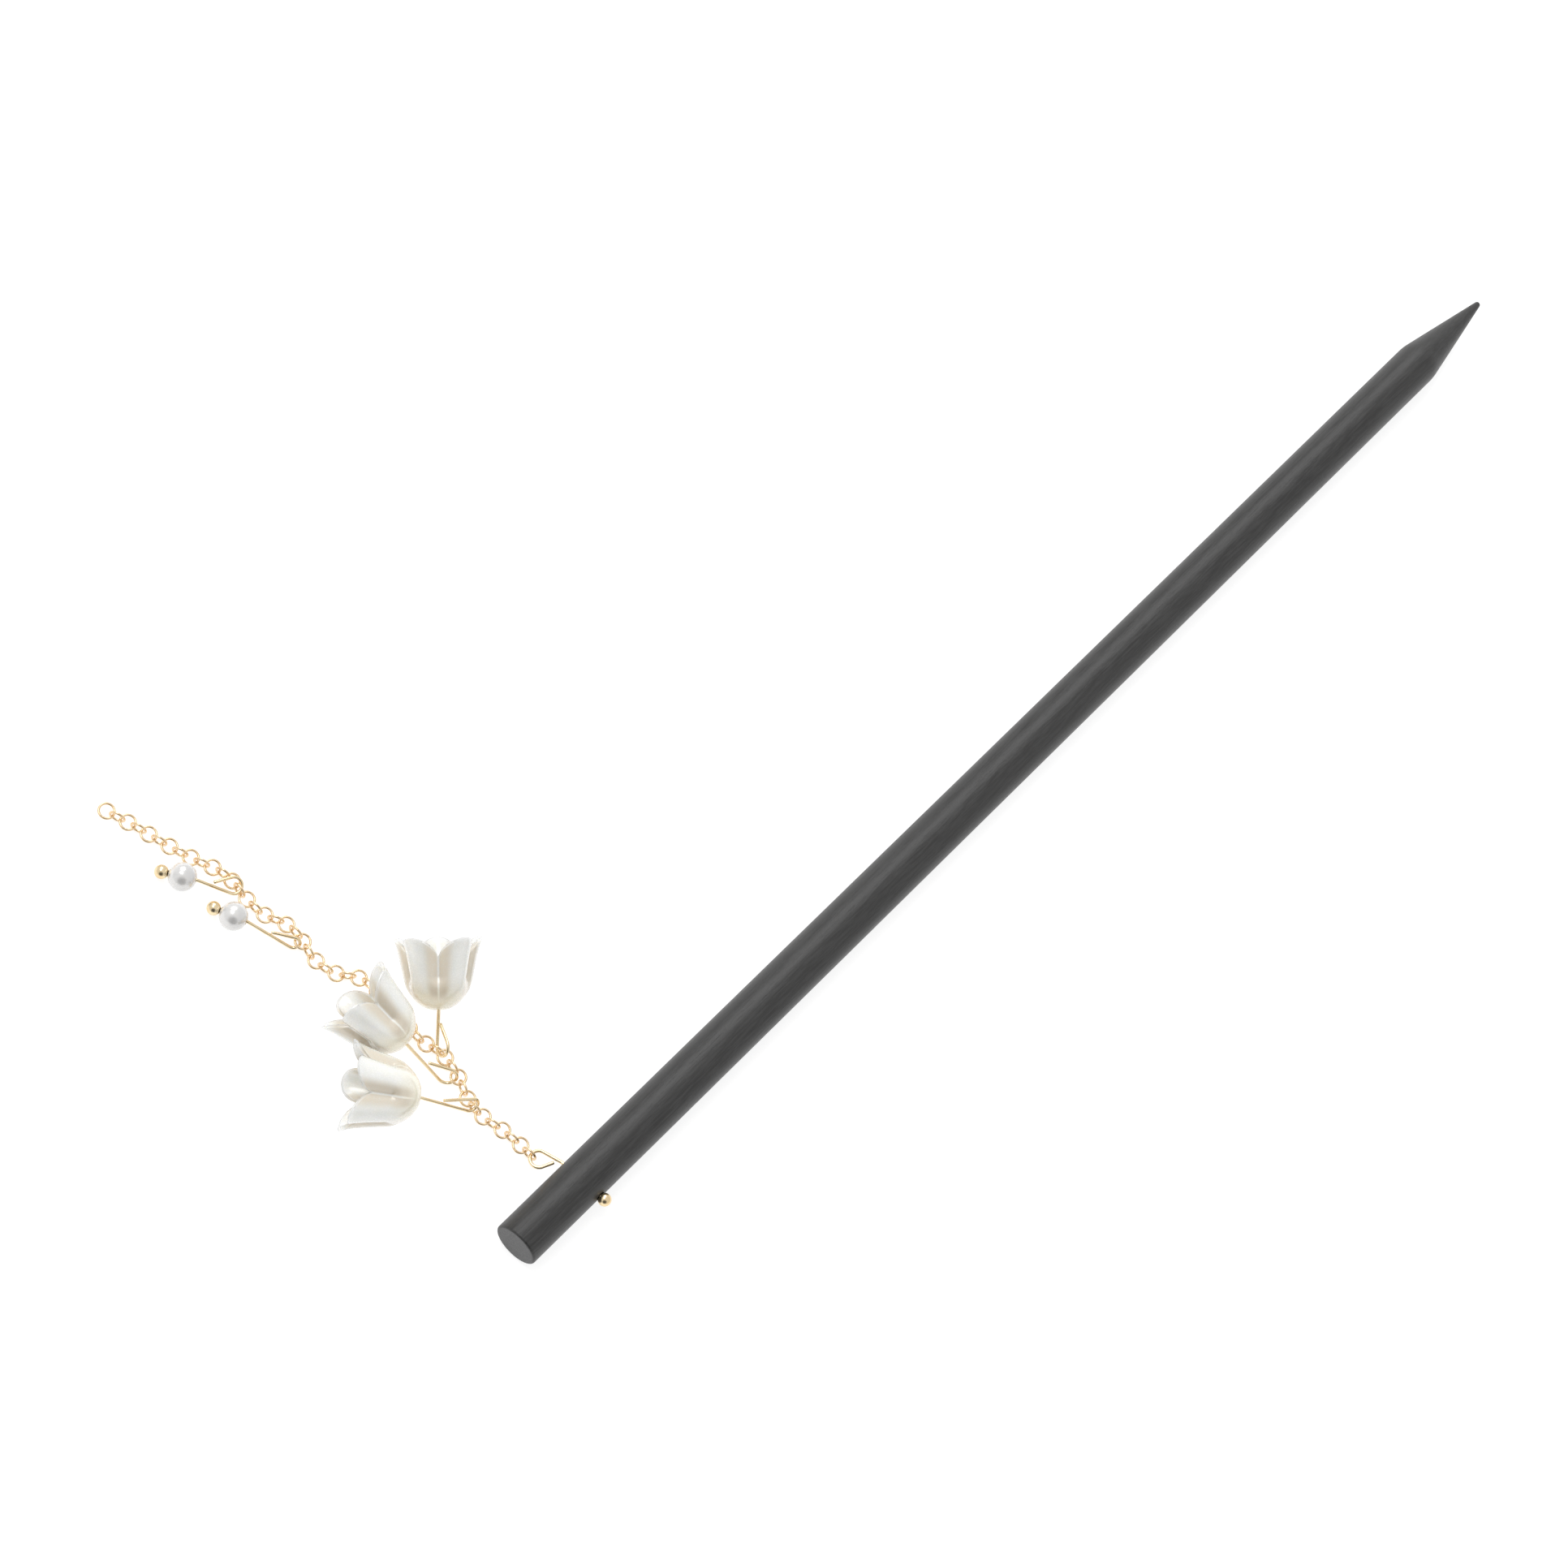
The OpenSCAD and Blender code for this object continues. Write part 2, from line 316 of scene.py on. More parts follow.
def chain_places():
    """Centre and hole axis of each link, in order from the stick"""
    found = []
    for part in loose_parts(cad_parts["chain"]):
        middle = part.mean(0)
        axes = np.linalg.svd(part - middle, full_matrices=False)[2]
        spans = (part - middle) @ axes.T
        found.append((middle + (spans.max(0) + spans.min(0)) / 2 @ axes, axes[2]))
    order = [min(found, key=lambda link: link[0][1])]
    left = [link for link in found if link is not order[0]]
    while left:
        last = order[-1][0]
        nearest = min(range(len(left)), key=lambda i: np.linalg.norm(left[i][0] - last))
        order.append(left.pop(nearest))
    return order


def link_mesh(centre, hole, ahead, seam_at):
    """A round link with the faint groove of its soldered joint. Angles start at ahead"""
    ahead = unit(ahead - ahead @ hole * hole)
    side = np.cross(hole, ahead)
    turn = np.linspace(0, 2 * math.pi, LINK_AROUND, endpoint=False)
    section = np.linspace(0, 2 * math.pi, LINK_SIDES, endpoint=False)
    from_seam = (turn - seam_at + math.pi) % (2 * math.pi) - math.pi
    wire = LINK_WIRE_R * (1 - SEAM_DEPTH * np.exp(-(from_seam / SEAM_WIDTH) ** 2))
    rings = []
    for angle, r in zip(turn, wire):
        out = math.cos(angle) * ahead + math.sin(angle) * side
        rings.append(centre + LINK_R * out
                     + r * (np.cos(section)[:, None] * out + np.sin(section)[:, None] * hole))
    return lofted(np.array(rings), loop=True)


def make_chain(places):
    draw = np.random.default_rng(4)
    parts = []
    for i, (centre, hole) in enumerate(places):
        ahead = places[min(i + 1, len(places) - 1)][0] - places[max(i - 1, 0)][0]
        seam_at = math.pi / 2 * draw.choice([1, -1]) + draw.normal(0, SEAM_SCATTER)
        parts.append(link_mesh(centre, hole, ahead, seam_at))
    return add_mesh("chain_links", *joined(parts))


# Pins

def head_ball(at, stem, radius, wire_r):
    """A ball with a small fillet towards its wire, and a faint flat opposite to it"""
    flat = -BALL_FLAT * radius
    profile = [(flat, NEARLY_NONE)]
    neck = math.asin(FILLET_START * wire_r / radius)
    for a in math.pi - (math.pi - neck) * np.arange(1, BALL_RINGS + 1) / BALL_RINGS:
        profile.append((max(radius * math.cos(a), flat), radius * math.sin(a)))
    base = profile[-1][0]
    profile += [(base + along * wire_r, share * wire_r) for along, share in FILLET_ROWS]
    return lofted(lathe(profile, at, stem, BALL_COLUMNS))


def ball_pin(name, ball_at, ball_r, bend, wire_r, loop, links):
    """A wire from a ball to a bend, and on to a loop round one link of the chain"""
    index, turn, rise, roll, reach, length, radius = loop
    to_link = links[index][0] - bend
    azimuth = math.degrees(math.atan2(to_link[1], to_link[0])) + turn
    climb = math.degrees(math.atan2(to_link[2], math.hypot(to_link[0], to_link[1]))) + rise
    axis, roll = heading(azimuth, climb), math.radians(roll)
    across = math.cos(roll) * side_of(axis) + math.sin(roll) * over_of(axis)
    closing = bend + (to_link @ axis - reach) * axis
    side = math.sqrt(length ** 2 - radius ** 2)
    spread = 2 * math.atan2(radius, side)

    centre = closing + side * axis + radius * across
    arc = []
    for angle in np.linspace(-math.pi / 2, math.pi / 2 + spread, ARC_POINTS):
        arc.append(centre + radius * (math.cos(angle) * axis + math.sin(angle) * across))
    back = math.cos(spread) * axis + math.sin(spread) * across
    end = closing + (2 * wire_r + LOOP_GAP) / math.sin(spread) * back

    stem = unit(bend - ball_at)
    path = bent_path(ball_at + ball_r / 2 * stem, bend, arc[0])
    path = spread_out(path + arc[1:] + [end])
    path[-1] = end - CUT_LENGTH * wire_r * unit(end - arc[-1])
    path.append(end)
    radii = np.full(len(path), wire_r)
    radii[-1] = CUT_RADIUS * wire_r
    wire = lofted(tube(path, radii, WIRE_SIDES))
    return add_mesh(name, *joined([wire, head_ball(ball_at, stem, ball_r, wire_r)]))


def seat(ball_r, hole_r):
    """Distance from a hole's rim to the centre of the ball that sits in it"""
    return math.sqrt((ball_r + SEAT_GAP) ** 2 - hole_r ** 2)


def make_stick_pin(links):
    hole = heading(90, -HOLE_TILT)
    stick_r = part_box("stick")[1].z
    centre = HOLE_AT * heading(0, 0)
    ball_at = centre - (stick_r + seat(STICK_BALL_R, HOLE_R)) * hole
    bend = centre + (stick_r + STICK_NECK) * hole
    return ball_pin("stick_pin_wire", ball_at, STICK_BALL_R, bend, STICK_WIRE_R, STICK_LOOP, links)


# Flowers

def smooth_rows(share):
    """The petals' radius as a share of the flower's, on a smooth curve through its rows"""
    x, y = FLOWER_ROWS.T
    slope = np.gradient(y, x)
    k = np.clip(np.searchsorted(x, share) - 1, 0, len(x) - 2)
    h = x[k + 1] - x[k]
    t = np.clip((share - x[k]) / h, 0, 1)
    return ((2 * t ** 3 - 3 * t ** 2 + 1) * y[k] + (t ** 3 - 2 * t ** 2 + t) * h * slope[k]
            + (3 * t ** 2 - 2 * t ** 3) * y[k + 1] + (t ** 3 - t ** 2) * h * slope[k + 1])


def rim_height(u):
    """Height of the rim at an angle from a petal's middle, in degrees"""
    return FLOWER_LEN - NOTCH_DEPTH * (np.abs(u) / PETAL_HALF) ** ARCH_CURVE


def groove_depth(z):
    """Distance of the petals' own axes from the flower's, as a share of its radius"""
    full = (z / FLOWER_LEN - GROOVE_FROM) / (GROOVE_FULL - GROOVE_FROM)
    return GROOVE_SHARE * np.clip(full, 0, 1) ** GROOVE_CURVE


def petal_radius(r, g, u):
    """Distance from the flower's axis to a petal, a round one about an axis of its own"""
    c = g * r
    root = (r - c) ** 2 - (c * np.sin(np.radians(u))) ** 2
    return c * np.cos(np.radians(u)) + np.sqrt(np.maximum(root, 0))


def shell_radius(u, z, inset, soft):
    """Radius of the flower at an angle from a petal's middle, with softly filled grooves"""
    r = FLOWER_R * smooth_rows(z / FLOWER_LEN) - inset
    g = groove_depth(z)
    own = petal_radius(r, g, np.abs(u))
    next_one = petal_radius(r, g, 2 * PETAL_HALF - np.abs(u))
    k = soft * r * g
    share = np.clip(0.5 + 0.5 * (own - next_one) / np.maximum(k, 1e-9), 0, 1)
    return next_one + (own - next_one) * share + k * share * (1 - share)


def rim_rings(outer, inner):
    """Rings of a half round edge between the upper ends of the two walls"""
    middle, across = (outer + inner) / 2, (outer - inner) / 2
    along = np.roll(middle, -1, 0) - np.roll(middle, 1, 0)
    out = np.cross(along, across)
    out *= np.linalg.norm(across, axis=1)[:, None] / np.linalg.norm(out, axis=1)[:, None]
    turn = math.pi * np.arange(1, RIM_STEPS) / RIM_STEPS
    return [middle + math.cos(t) * across + math.sin(t) * out for t in turn]


def flower_shape():
    """Points of a flower in its own frame, as rings, with two values that place its warm base and
    its painted shade
    """
    columns = np.arange(PETALS * PETAL_COLUMNS)
    u = (columns % PETAL_COLUMNS) / PETAL_COLUMNS * 2 * PETAL_HALF - PETAL_HALF
    turn = np.radians(columns // PETAL_COLUMNS * 2 * PETAL_HALF + u)
    spoke = np.stack([np.cos(turn), np.sin(turn), 0 * turn], 1)
    shares = np.linspace(0, 1, WALL_RINGS) ** RING_CROWDING

    def ring(z, inset, soft):
        return shell_radius(u, z, inset, soft)[:, None] * spoke + z[:, None] * UP

    top = rim_height(u) - RIM_DROP * FLOWER_WALL
    outer = [ring(v * top, 0, OUTER_SOFTNESS) for v in shares]
    inner = [ring(FLOWER_WALL + v * (top - FLOWER_WALL), FLOWER_WALL, INNER_SOFTNESS)
             for v in shares[::-1]]
    rim = rim_rings(outer[-1], inner[0])
    hole = [FLOWER_HOLE_R * spoke + z * UP for z in np.linspace(FLOWER_WALL, 0, HOLE_RINGS)]
    rings = np.array(outer + rim + inner + hole)
    height = rings[..., 2] / FLOWER_LEN
    return rings, np.broadcast_to(np.abs(u) / PETAL_HALF, height.shape), height


def flower_frame(n):
    """Unit vectors of a laid flower's own frame, its axis last"""
    azimuth, rise, spin = FLOWER_POSES[n]
    axis = heading(azimuth, rise)
    spin = math.radians(spin)
    x = math.cos(spin) * over_of(axis) + math.sin(spin) * side_of(axis)
    return np.array([x, np.cross(axis, x), axis])


def make_flower(n):
    """One flower, laid in its solid's place, and the point at its base hole"""
    rings, groove, height = flower_shape()
    turned = rings @ flower_frame(n)
    flat = turned.reshape(-1, 3)
    base = centre_of(f"flower_{n + 1}") - (flat.min(0) + flat.max(0)) / 2
    points, faces = lofted(turned + base, loop=True)
    flower = add_mesh(f"flower_shell_{n + 1}", points, faces)
    for name, values in (("groove", groove), ("height", height)):
        layer = flower.data.attributes.new(name, "FLOAT", "POINT")
        layer.data.foreach_set("value", values.reshape(-1).astype(np.float32))
    return flower, base


def make_flower_pin(n, base, links):
    axis = flower_frame(n)[2]
    ball_at = base + (FLOWER_WALL + seat(PIN_BALL_R, FLOWER_HOLE_R)) * axis
    return ball_pin(f"flower_pin_wire_{n + 1}", ball_at, PIN_BALL_R, base, PIN_WIRE_R,
                    FLOWER_LOOPS[n], links)


# Pearls

def pearl_bumps(p, n):
    """Gentle waves over a ball of radius 1, other ones for each pearl, between -1 and 1"""
    x, y, z = p[..., 0], p[..., 1], p[..., 2]
    waves = np.sin(3.1 * x + 1.7 * y + n) * np.sin(2.3 * y - 2.9 * z)
    waves += 0.5 * np.sin(5.2 * z + 2.2 * x + 2 * n)
    return waves / 1.5


def make_pearl(n):
    """A drilled bead, very slightly uneven, with rounded mouths of its hole"""
    centre, axis = centre_of(f"pearl_{n + 1}"), heading(*PEARL_POSES[n])
    first = math.asin((PEARL_HOLE_R + PEARL_MOUTH) / PEARL_R)
    edge = PEARL_R * math.cos(first)
    ball = [(PEARL_R * math.cos(a), PEARL_R * math.sin(a))
            for a in np.linspace(math.pi - first, first, PEARL_RINGS)]
    mouth = [(edge - MOUTH_DEPTH * PEARL_MOUTH * t ** 2, PEARL_HOLE_R + PEARL_MOUTH * (1 - t))
             for t in MOUTH_STEPS]
    bore_end = edge - PEARL_MOUTH
    bore = [(x, PEARL_HOLE_R) for x in np.linspace(bore_end, -bore_end, BORE_RINGS + 2)[1:-1]]
    far_mouth = [(-x, r) for x, r in reversed(mouth)]
    rings = lathe(ball + mouth + bore + far_mouth, 0 * centre, axis, PEARL_COLUMNS)
    on_ball = np.linalg.norm(rings, axis=2) > SKIN_FROM * PEARL_R
    swell = np.where(on_ball, 1 - PEARL_SWELL * (1 + pearl_bumps(rings / PEARL_R, n)), 1)
    points, faces = lofted(rings * swell[..., None] + centre, loop=True)
    return add_mesh(f"pearl_bead_{n + 1}", points, faces), centre, axis


def make_pearl_pin(n, centre, axis, links):
    rim = math.sqrt(PEARL_R ** 2 - PEARL_HOLE_R ** 2)
    ball_at = centre - (rim + seat(PIN_BALL_R, PEARL_HOLE_R)) * axis
    return ball_pin(f"pearl_pin_wire_{n + 1}", ball_at, PIN_BALL_R, centre + PEARL_R * axis,
                    PIN_WIRE_R, PEARL_LOOPS[n], links)


# Stick

def stick_profile(length, radius):
    """Distance from the butt and radius, butt centre to tip"""
    profile = [(0, NEARLY_NONE)]
    profile += [(0, radius * share) for share in END_FACE_RINGS]
    for a in np.linspace(0, math.pi / 2, EDGE_RINGS):
        profile.append((BUTT_ROUND * (1 - math.cos(a)), radius - BUTT_ROUND * (1 - math.sin(a))))
    to_tip = POINT_LEN - TIP_R
    cone = math.atan2(radius, to_tip) - math.asin(TIP_R / math.hypot(radius, to_tip))
    bend_start = length - POINT_LEN - SHOULDER_R * math.tan(cone / 2)
    for x in np.arange(BUTT_ROUND + SHAFT_START, bend_start, SHAFT_STEP):
        profile.append((x, radius))
    for a in np.linspace(0, cone, SHOULDER_RINGS):
        profile.append((bend_start + SHOULDER_R * math.sin(a),
                        radius - SHOULDER_R * (1 - math.cos(a))))
    tip_centre = length - TIP_R
    start = np.array(profile[-1])
    end = np.array([tip_centre + TIP_R * math.sin(cone), TIP_R * math.cos(cone)])
    for t in np.linspace(0, 1, CONE_RINGS)[1:-1]:
        profile.append(tuple(start + (end - start) * t))
    for a in np.linspace(cone, math.pi / 2, EDGE_RINGS):
        profile.append((tip_centre + TIP_R * math.sin(a), max(TIP_R * math.cos(a), NEARLY_NONE)))
    return profile


def wood_unevenness(x, turn):
    """Gentle waves along and around the stick, between -1 and 1"""
    waves = np.sin(3 * turn + 31 * x) + 0.7 * np.sin(5 * turn - 47 * x + 1.3)
    return (waves + 0.6 * np.sin(83 * x + 0.4)) / 2.3


def drilled(piece, hole):
    """The piece's mesh without what the hole's mesh takes up"""
    cut = piece.modifiers.new("hole", "BOOLEAN")
    cut.object, cut.solver = hole, "EXACT"
    graph = bpy.context.evaluated_depsgraph_get()
    mesh = bpy.data.meshes.new_from_object(piece.evaluated_get(graph))
    piece.modifiers.clear()
    bpy.data.objects.remove(hole)
    return mesh


def make_stick():
    low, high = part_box("stick")
    length, radius = high.x, high.z
    along = heading(0, 0)
    rings = lathe(stick_profile(length, radius), np.zeros(3), along, STICK_COLUMNS)
    waves = wood_unevenness(rings[..., 0], np.arctan2(rings[..., 2], rings[..., 1]))
    rings[..., 1:] *= (1 - WOOD_SWELL * (1 + waves))[..., None]
    stick = add_mesh("stick_wood", *lofted(rings))
    bore = [(-2 * radius, HOLE_R), (2 * radius, HOLE_R)]
    hole = lathe(bore, HOLE_AT * along, heading(90, -HOLE_TILT), HOLE_COLUMNS)
    stick.data = drilled(stick, add_mesh("hole", *lofted(hole)))
    stick.data.shade_smooth()
    stick.data.set_sharp_from_angle(angle=math.radians(SHARP_FROM))
    return stick


# Materials

class Surface:
    """A material under construction: short names for the nodes that it needs"""

    def __init__(self, name):
        self.material = bpy.data.materials.new(name)
        self.material.use_nodes = True
        self.tree = self.material.node_tree
        self.shader = self.tree.nodes["Principled BSDF"]

    def set(self, **values):
        """Fixed values of the shader. Colours are red, green and blue"""
        for name, value in values.items():
            socket = self.shader.inputs[name.replace("_", " ")]
            is_colour = socket.type == "RGBA"
            socket.default_value = (*value, 1) if is_colour else value

    def drive(self, name, source):
        self.feed(source, self.shader.inputs[name])

    def node(self, kind, **settings):
        node = self.tree.nodes.new(kind)
        for name, value in settings.items():
            setattr(node, name, value)
        return node

    def feed(self, source, target):
        """Sets a socket to a number, a colour or another node's output"""
        if isinstance(source, (int, float)):
            target.default_value = source
        elif isinstance(source, tuple):
            target.default_value = (*source, 1)
        else:
            self.tree.links.new(source, target)

    def noise(self, per_metre, detail=3, roughness=0.5, distortion=0):
        """Noise with so many waves in a metre along each axis"""
        mapping = self.node("ShaderNodeMapping")
        mapping.inputs["Scale"].default_value = per_metre
        self.feed(self.node("ShaderNodeTexCoord").outputs["Object"], mapping.inputs["Vector"])
        node = self.node("ShaderNodeTexNoise")
        node.inputs["Scale"].default_value = 1
        node.inputs["Detail"].default_value = detail
        node.inputs["Roughness"].default_value = roughness
        node.inputs["Distortion"].default_value = distortion
        self.feed(mapping.outputs["Vector"], node.inputs["Vector"])
        return node.outputs["Fac"]

    def value(self, name):
        """A value that the mesh stores at its points"""
        return self.node("ShaderNodeAttribute", attribute_name=name).outputs["Fac"]

    def facing_x(self):
        """How far the surface faces along X, from -1 at the butt to 1 at the tip"""
        split = self.node("ShaderNodeSeparateXYZ")
        self.feed(self.node("ShaderNodeNewGeometry").outputs["Normal"], split.inputs[0])
        return split.outputs["X"]

    def times(self, first, second):
        node = self.node("ShaderNodeMath", operation="MULTIPLY")
        self.feed(first, node.inputs[0])
        self.feed(second, node.inputs[1])
        return node.outputs[0]

    def between(self, source, low, high, to_low=0, to_high=1):
        """A soft step from to_low, up to low, to to_high, from high on"""
        node = self.node("ShaderNodeMapRange", interpolation_type="SMOOTHSTEP")
        for name, value in (("Value", source), ("From Min", low), ("From Max", high),
                            ("To Min", to_low), ("To Max", to_high)):
            self.feed(value, node.inputs[name])
        return node.outputs["Result"]

    def mix(self, share, first, second):
        """The first colour, with a share of the second"""
        node = self.node("ShaderNodeMix", data_type="RGBA")
        sockets = {socket.identifier: socket for socket in node.inputs}
        self.feed(share, sockets["Factor_Float"])
        self.feed(first, sockets["A_Color"])
        self.feed(second, sockets["B_Color"])
        return next(socket for socket in node.outputs if socket.identifier == "Result_Color")

    def bump(self, height, depth, below=None):
        """A normal for relief of this depth, on top of the relief below"""
        node = self.node("ShaderNodeBump")
        node.inputs["Strength"].default_value = 1
        node.inputs["Distance"].default_value = depth
        self.feed(height, node.inputs["Height"])
        if below is not None:
            self.feed(below, node.inputs["Normal"])
        return node.outputs["Normal"]


def wood_material():
    """Charcoal stain with fine lengthwise fibres, darker pores and a paler end face"""
    s = Surface("stained_wood")
    dark, light = (0.013, 0.0125, 0.012), (0.022, 0.0215, 0.021)
    fibre_tone, pore_tone = (0.040, 0.0395, 0.039), (0.014, 0.0135, 0.013)
    end_tone = (0.058, 0.058, 0.059)
    fibre = s.noise((280, 3600, 3600), detail=4, roughness=0.65)
    figure = s.noise((9, 330, 330), distortion=0.3)
    pores = s.noise((300, 9000, 9000), detail=2)
    tone = s.mix(s.between(figure, 0.35, 0.68), dark, light)
    tone = s.mix(s.between(fibre, 0.35, 0.68, 0, 0.8), tone, fibre_tone)
    tone = s.mix(s.between(pores, 0.62, 0.72, 0, 0.6), tone, pore_tone)
    tone = s.mix(s.between(s.facing_x(), -0.9, -0.97, 0, 0.8), tone, end_tone)
    s.drive("Base Color", tone)
    s.drive("Roughness", s.between(fibre, 0.3, 0.75, 0.36, 0.50))
    fibre_relief = s.bump(fibre, 0.03 * MM)
    s.drive("Normal", s.bump(s.between(pores, 0.62, 0.72, 1, 0), 0.008 * MM, fibre_relief))
    return s.material


def gold_material(name, colour, deep, roughness):
    """Polished gold plate, a little deeper in cloudy spots, with hair-fine scratches"""
    s = Surface(name)
    wear = s.noise((900, 900, 900))
    scratch = s.noise((9000, 2500, 5200), roughness=0.7)
    s.set(Metallic=1)
    s.drive("Base Color", s.mix(s.between(wear, 0.35, 0.7), colour, deep))
    s.drive("Roughness", s.between(scratch, 0.3, 0.8, roughness, roughness + 0.12))
    s.drive("Normal", s.bump(scratch, 0.0025 * MM))
    return s.material


def flower_material():
    """Milky resin with a gloss, warm at the base, with painted shade in grainy beige on the
    grooves' flanks
    """
    s = Surface("pearly_flower")
    dim, bright = (0.86, 0.865, 0.83), (0.90, 0.90, 0.875)
    base_tone, painted_shade_tone = (0.96, 0.88, 0.70), (0.66, 0.585, 0.465)
    groove, height = s.value("groove"), s.value("height")
    cloud = s.noise((420, 420, 420))
    grain = s.noise((6500, 6500, 6500), detail=2)
    body = s.mix(s.between(cloud, 0.35, 0.7), dim, bright)
    body = s.mix(s.between(height, 0, 0.5, 0.9, 0), body, base_tone)
    # Painted shade: a grainy beige darkening on the flanks of the grooves between the petals. It
    # is left off along each groove's bottom and near the base
    painted_shade = s.times(s.between(groove, 0.30, 0.70), s.between(groove, 0.995, 0.90))
    painted_shade = s.times(painted_shade, s.between(height, 0.06, 0.26))
    painted_shade = s.times(painted_shade, s.between(grain, 0.2, 0.8, 0.55, 0.95))
    s.drive("Base Color", s.mix(painted_shade, body, painted_shade_tone))
    s.drive("Roughness", s.between(grain, 0.3, 0.7, 0.22, 0.30))
    s.set(Subsurface_Weight=0.5, Subsurface_Scale=0.8 * MM, Subsurface_Radius=(1, 0.9, 0.75),
          Coat_Weight=1, Coat_Roughness=0.05, Specular_IOR_Level=0.6)
    s.drive("Normal", s.bump(cloud, 0.03 * MM, s.bump(grain, 0.001 * MM)))
    return s.material


def pearl_material():
    """Lustre over a pale body, nearly smooth"""
    s = Surface("pearl")
    dim, bright = (0.70, 0.695, 0.69), (0.78, 0.77, 0.755)
    cloud = s.noise((420, 420, 420), detail=2)
    skin = s.noise((2600, 2600, 2600), detail=2)
    s.drive("Base Color", s.mix(s.between(cloud, 0.35, 0.65), dim, bright))
    s.drive("Roughness", s.between(skin, 0.3, 0.7, 0.22, 0.26))
    s.set(Subsurface_Weight=0.3, Subsurface_Scale=0.4 * MM, Subsurface_Radius=(1, 0.95, 0.9),
          Metallic=0.38, Coat_Weight=0.9, Coat_Roughness=0.06, Specular_IOR_Level=0.6)
    s.drive("Normal", s.bump(skin, 0.0006 * MM))
    return s.material


# Placing

def show(piece, node, material):
    """Puts a piece in the place of its node's solid"""
    piece.data.materials.clear()
    piece.data.materials.append(material)
    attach(piece, "root")
    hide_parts(node)


def build():
    wood = wood_material()
    wire_gold = gold_material("gold_wire", (0.88, 0.73, 0.48), (0.82, 0.63, 0.37), 0.16)
    chain_gold = gold_material("gold_chain", (0.88, 0.69, 0.46), (0.82, 0.60, 0.36), 0.20)
    petal, pearl = flower_material(), pearl_material()

    links = chain_places()
    show(make_stick(), "stick", wood)
    show(make_chain(links), "chain", chain_gold)
    show(make_stick_pin(links), "stick_pin", wire_gold)
    for n in range(len(FLOWER_POSES)):
        flower, base = make_flower(n)
        show(flower, f"flower_{n + 1}", petal)
        show(make_flower_pin(n, base, links), f"flower_pin_{n + 1}", wire_gold)
    for n in range(len(PEARL_POSES)):
        bead, centre, axis = make_pearl(n)
        show(bead, f"pearl_{n + 1}", pearl)
        show(make_pearl_pin(n, centre, axis, links), f"pearl_pin_{n + 1}", wire_gold)


# Camera, solved from the stick's outline in the photograph: its place, the fall of its line
# of sight, its turn about that line in degrees, focal length and sensor in mm
CAMERA_AT = Vector((-0.1713, 0.01777, 0.4557))
CAMERA_FALL = 62.3
CAMERA_ROLL = -46.67
FOCAL = 94.47
SENSOR = 36
NEAR_CLIP = 10 * MM

# Floor
FLOOR_HALF = 1500 * MM
FLOOR_LINES = 9

# Lights: the way to each from the object, strength and angle across in degrees
SUNS = [("key", (0.465, 0.58, 0.675), 0.75, 34), ("top", (-0.05, 0.41, 0.91), 0.55, 24)]
# The room is bright but for one dim side: the way to it, and the cosines of the angles from
# that way at which the room starts and ends to be dim
DIM_SIDE = (-0.72, -0.41, 0.55)
DIM_FROM = 0.72
DIM_FULL = 0.97
ROOM_BRIGHT = 0.85
ROOM_DIM = 0.08


def add_camera():
    fall, roll = math.radians(CAMERA_FALL), math.radians(CAMERA_ROLL)
    ahead = Vector((math.cos(fall), 0, -math.sin(fall)))
    level_up = Vector((math.sin(fall), 0, math.cos(fall)))
    level_right = ahead.cross(level_up)
    up = math.cos(roll) * level_up + math.sin(roll) * level_right
    right = ahead.cross(up)
    data = bpy.data.cameras.new("camera")
    data.lens, data.sensor_width, data.clip_start = FOCAL, SENSOR, NEAR_CLIP
    camera = bpy.data.objects.new("camera", data)
    turned = Matrix((right, up, -ahead)).transposed().to_4x4()
    camera.matrix_world = Matrix.Translation(CAMERA_AT) @ turned
    bpy.context.scene.collection.objects.link(camera)
    bpy.context.scene.camera = camera


# Studio

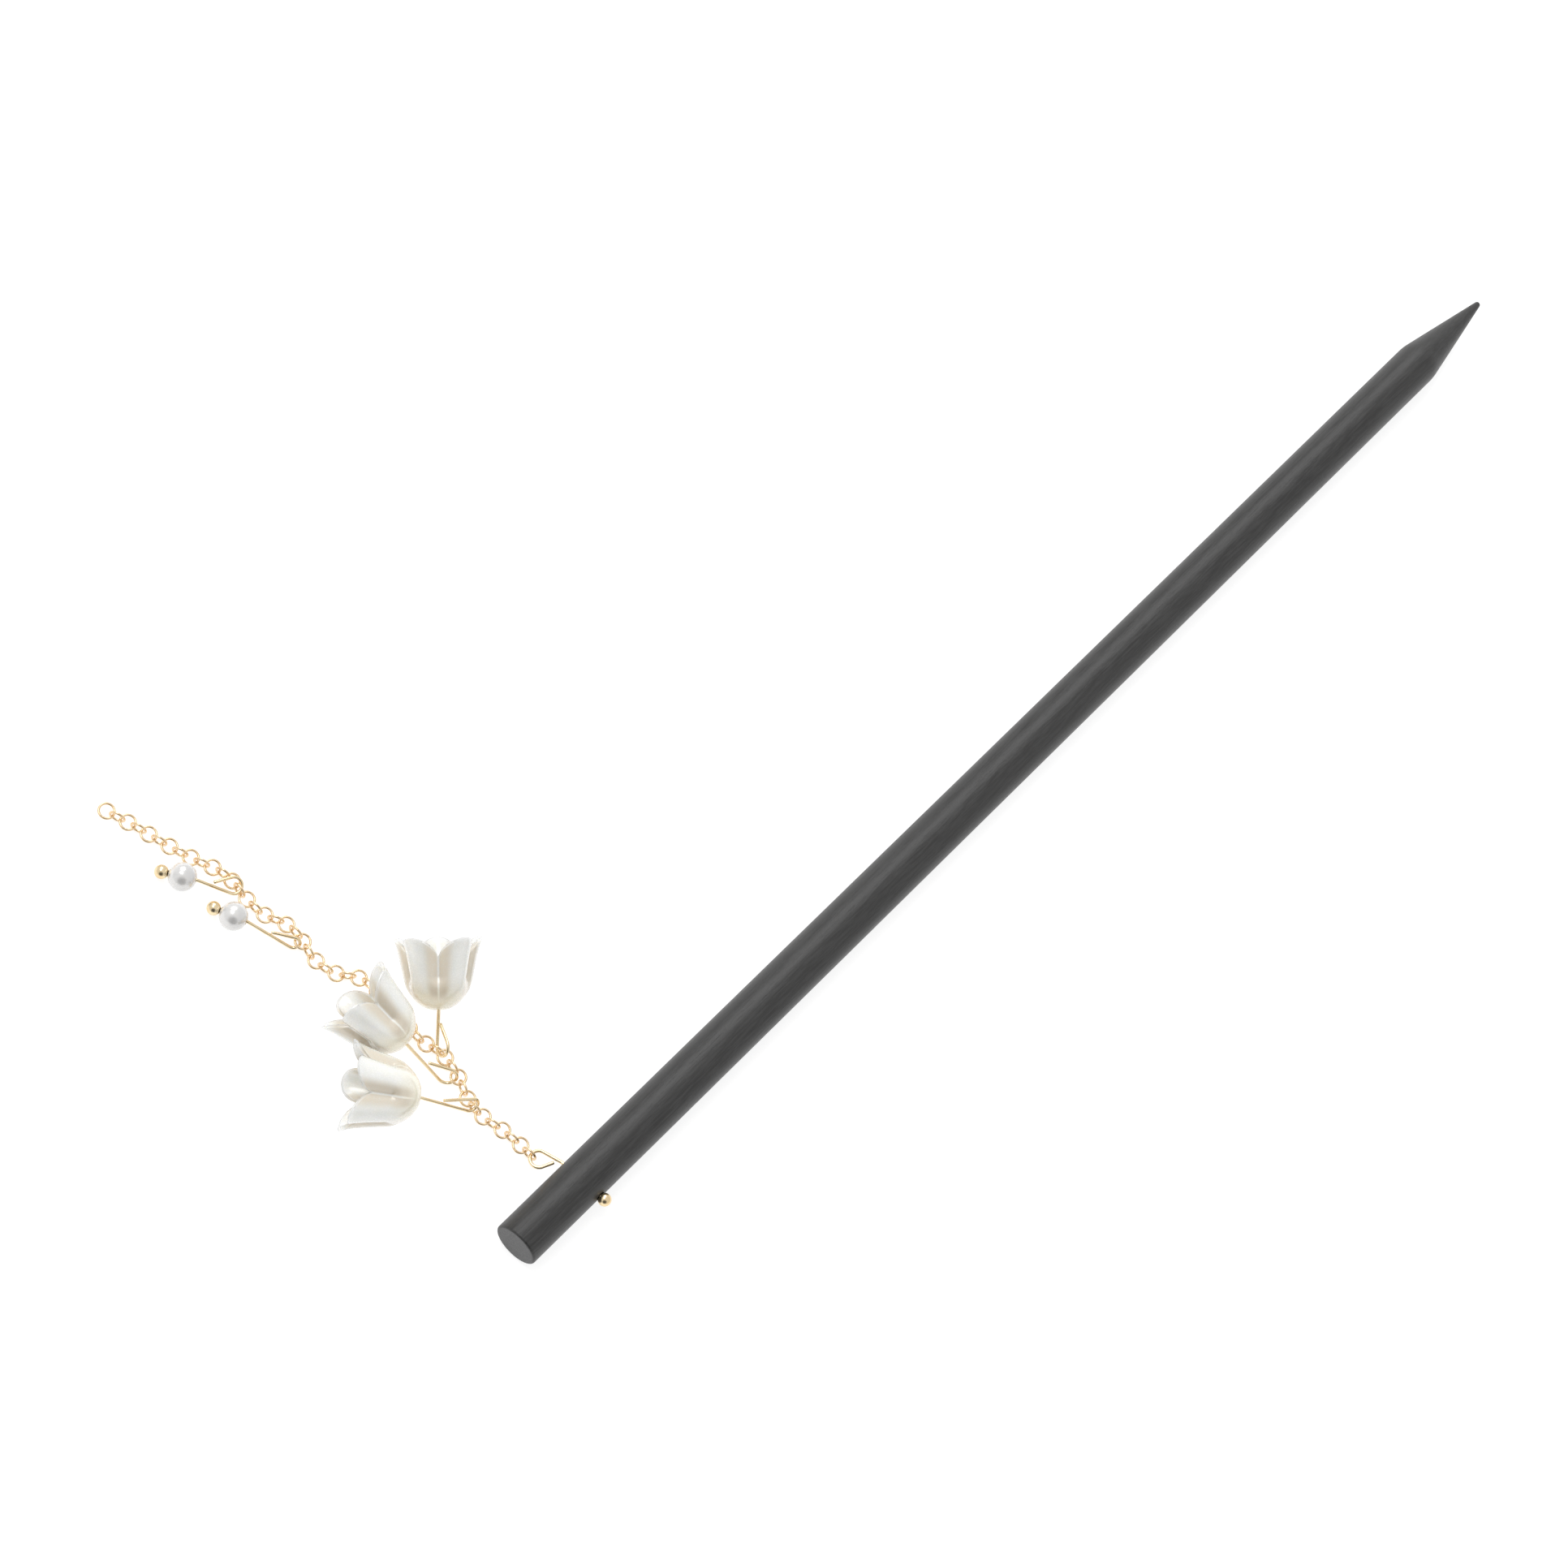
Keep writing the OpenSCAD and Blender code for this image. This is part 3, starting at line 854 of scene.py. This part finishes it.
def add_floor():
    """A wide pale floor that glows a little, so that shadows on it stay faint"""
    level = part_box("stick")[0].z
    lines = np.linspace(-FLOOR_HALF, FLOOR_HALF, FLOOR_LINES)
    points = [(x, y, level) for y in lines for x in lines]
    faces = []
    for row in range(FLOOR_LINES - 1):
        for column in range(FLOOR_LINES - 1):
            corner = FLOOR_LINES * row + column
            above = corner + FLOOR_LINES
            faces.append((corner, corner + 1, above + 1, above))
    floor = add_mesh("floor", points, faces)
    s = Surface("pale_floor")
    s.set(Base_Color=(0.45, 0.45, 0.45), Roughness=0.9, Specular_IOR_Level=0.1,
          Emission_Color=(1, 1, 1), Emission_Strength=0.75)
    floor.data.materials.append(s.material)


def add_sun(name, towards, strength, angle):
    data = bpy.data.lights.new(name, "SUN")
    data.energy, data.angle = strength, math.radians(angle)
    light = bpy.data.objects.new(name, data)
    light.rotation_euler = Vector(towards).to_track_quat("Z", "Y").to_euler()
    bpy.context.scene.collection.objects.link(light)


def add_room():
    """Even white light all round, with a dim part of the room on one side"""
    world = bpy.data.worlds.new("room")
    world.use_nodes = True
    tree = world.node_tree
    where = tree.nodes.new("ShaderNodeTexCoord").outputs["Generated"]
    dot = tree.nodes.new("ShaderNodeVectorMath")
    dot.operation = "DOT_PRODUCT"
    dot.inputs[1].default_value = Vector(DIM_SIDE).normalized()
    level = tree.nodes.new("ShaderNodeMapRange")
    level.interpolation_type = "SMOOTHSTEP"
    for name, value in (("From Min", DIM_FROM), ("From Max", DIM_FULL),
                        ("To Min", ROOM_BRIGHT), ("To Max", ROOM_DIM)):
        level.inputs[name].default_value = value
    tree.links.new(where, dot.inputs[0])
    tree.links.new(dot.outputs["Value"], level.inputs["Value"])
    tree.links.new(level.outputs["Result"], tree.nodes["Background"].inputs["Strength"])
    tree.nodes["Background"].inputs["Color"].default_value = (1, 1, 1, 1)
    bpy.context.scene.world = world


def add_studio():
    bpy.context.scene.view_settings.view_transform = "Standard"
    add_floor()
    add_room()
    for sun in SUNS:
        add_sun(*sun)


add_camera()
build()
add_studio()
